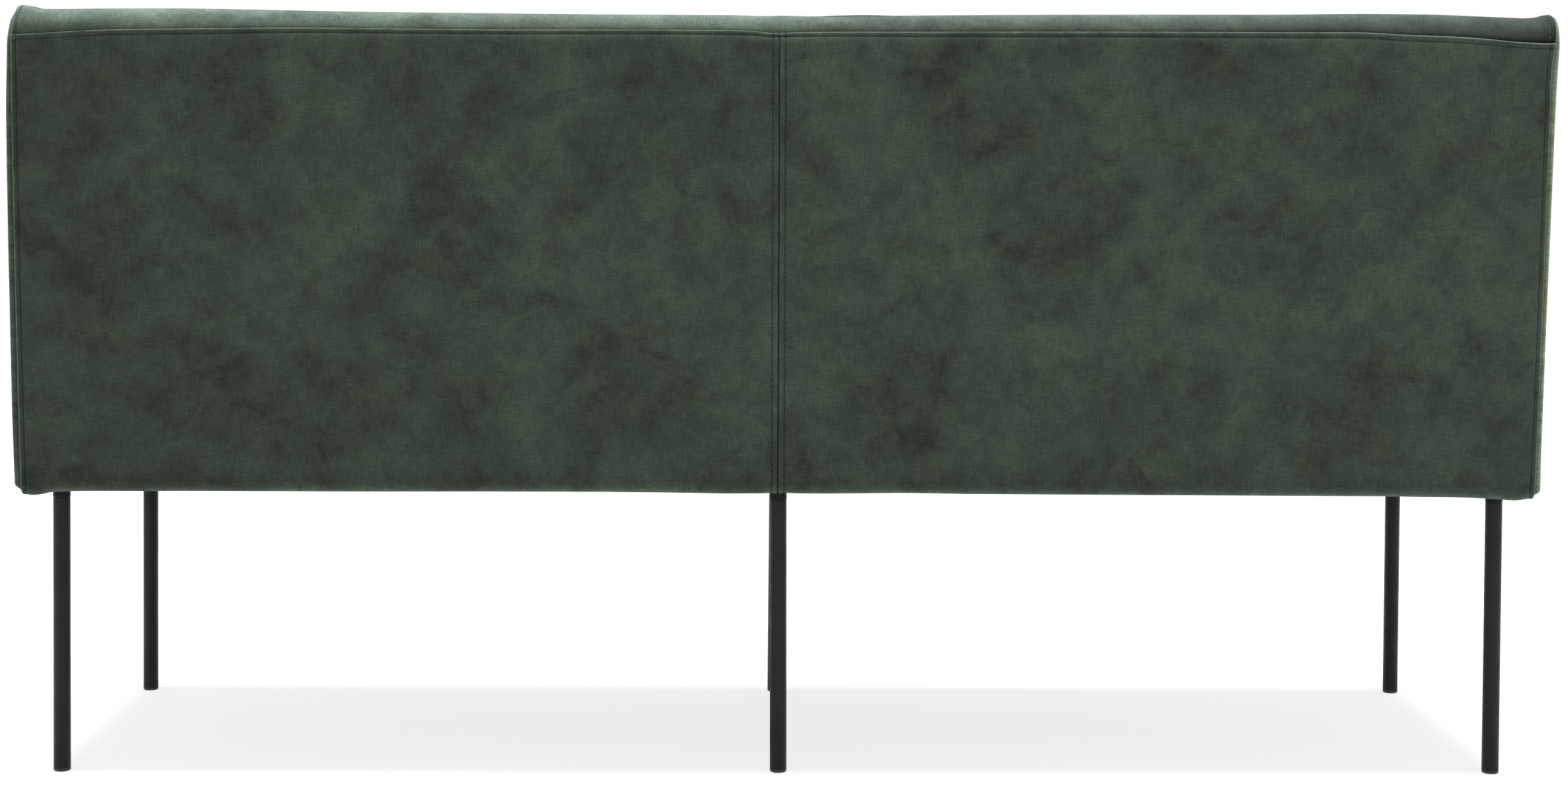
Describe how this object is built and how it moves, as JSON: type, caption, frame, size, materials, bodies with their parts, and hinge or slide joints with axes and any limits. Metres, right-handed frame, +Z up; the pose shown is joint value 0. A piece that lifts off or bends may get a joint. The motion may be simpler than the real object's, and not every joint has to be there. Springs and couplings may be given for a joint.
{
  "type": "upholstered dining bench",
  "caption": "Long dining bench with a velvet-covered seat and leaning back on slim black tube legs with push-in foot glides.",
  "frame": {"origin": "on the floor, under the middle of the bench's bounding box", "axes": "+Z up; +X along the bench towards its right end as seen from the front; +Y from the seat's front towards the back panel, so a sitter looks along -Y"},
  "size_m": [1.8, 0.5999, 0.905],
  "materials": {
    "velvet": "short-pile velvet, dark green with a cloudy sheen",
    "wadding": "white polyester wadding",
    "foam": "upholstery foam, open cell",
    "timber": "planed softwood",
    "plywood": "sanded plywood",
    "hardboard": "smooth hardboard",
    "webbing": "woven elastic webbing",
    "dust_cloth": "black non-woven cloth",
    "zinc_steel": "bright zinc plated",
    "black_steel": "fine-textured matt black powder coat",
    "glide_plastic": "matt black plastic"
  },
  "bodies": {
    "root": {"side_cover_left": "velvet", "side_cover_right": "velvet", "rear_cover_left": "velvet", "rear_cover_right": "velvet", "seat_cover_left": "velvet", "seat_cover_right": "velvet", "inside_back_cover_left": "velvet", "inside_back_cover_right": "velvet", "side_wadding_left": "wadding", "side_wadding_right": "wadding", "rear_wadding": "wadding", "front_wadding": "wadding", "seat_foam": "foam", "back_foam": "foam", "base_rail_front": "timber", "base_rail_rear": "timber", "seat_front_rail": "timber", "seat_rear_rail": "timber", "back_lower_rail": "timber", "back_middle_rail": "timber", "back_top_rail": "timber", "glue_blocks": "timber", "end_frame_left": "plywood", "centre_frame": "plywood", "end_frame_right": "plywood", "back_board": "hardboard", "rear_board": "hardboard", "seat_webbing_left": "webbing", "seat_webbing_right": "webbing", "dust_cover": "dust_cloth", "leg_tee_nuts": "zinc_steel", "leg_rear_left": "black_steel", "leg_rear_centre": "black_steel", "leg_rear_right": "black_steel", "leg_front_left": "black_steel", "leg_front_centre": "black_steel", "leg_front_right": "black_steel", "foot_glide_rear_left": "glide_plastic", "foot_glide_rear_centre": "glide_plastic", "foot_glide_rear_right": "glide_plastic", "foot_glide_front_left": "glide_plastic", "foot_glide_front_centre": "glide_plastic", "foot_glide_front_right": "glide_plastic"}
  },
  "joints": []
}
